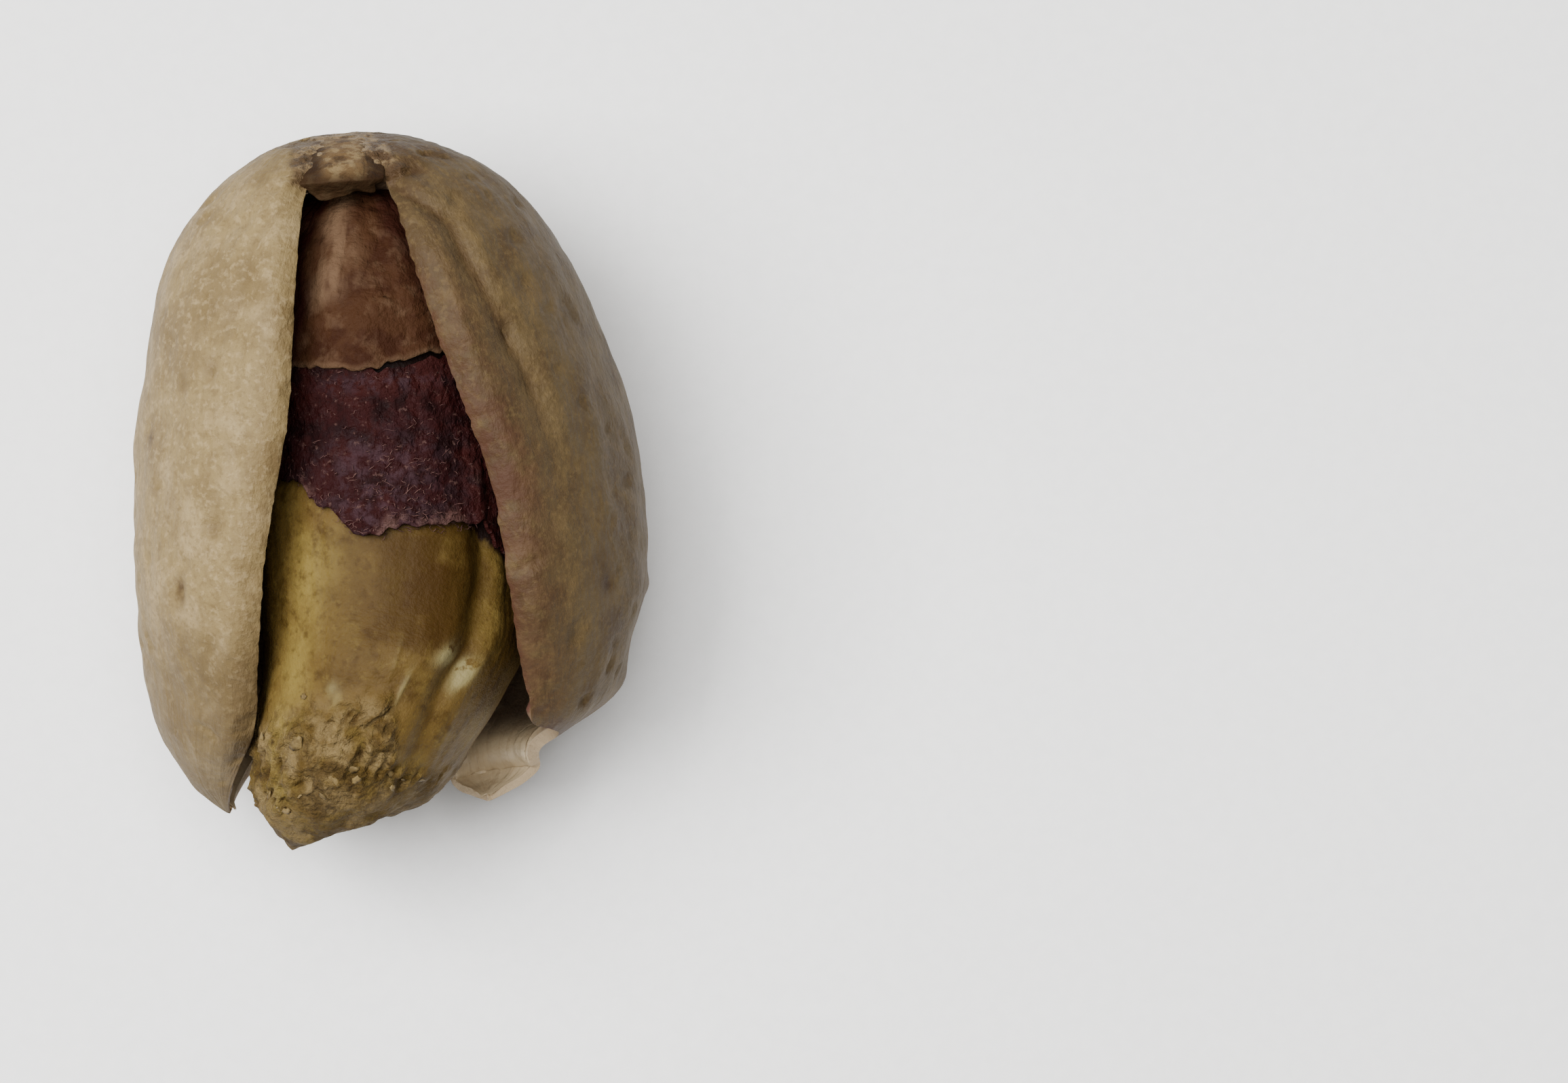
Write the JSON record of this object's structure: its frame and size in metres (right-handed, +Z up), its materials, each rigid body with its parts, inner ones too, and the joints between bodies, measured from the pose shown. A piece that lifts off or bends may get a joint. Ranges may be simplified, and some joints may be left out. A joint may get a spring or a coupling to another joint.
{
  "type": "pistachio in shell",
  "caption": "Split pistachio shell lying with its gape upwards, with the kernel inside still wearing part of its seed coat.",
  "frame": {"origin": "on the surface that the nut rests on, under the middle of its bounding box", "axes": "+Y along the nut, from the open tip to the stalk scar; +Z up, out of the gape; +X towards the half whose tip is hooked"},
  "size_m": [0.0146, 0.0202, 0.0126],
  "materials": {
    "shell_wood": "dry, fine-grained, matt",
    "kernel_flesh": "waxy green flesh, slightly satin",
    "seed_coat": "papery dark purple skin with pale fibres",
    "coat_cap": "fibrous tan skin"
  },
  "bodies": {
    "root": {"shell": "shell_wood", "kernel": "kernel_flesh", "seed_coat": "seed_coat", "coat_cap": "coat_cap"}
  },
  "joints": []
}
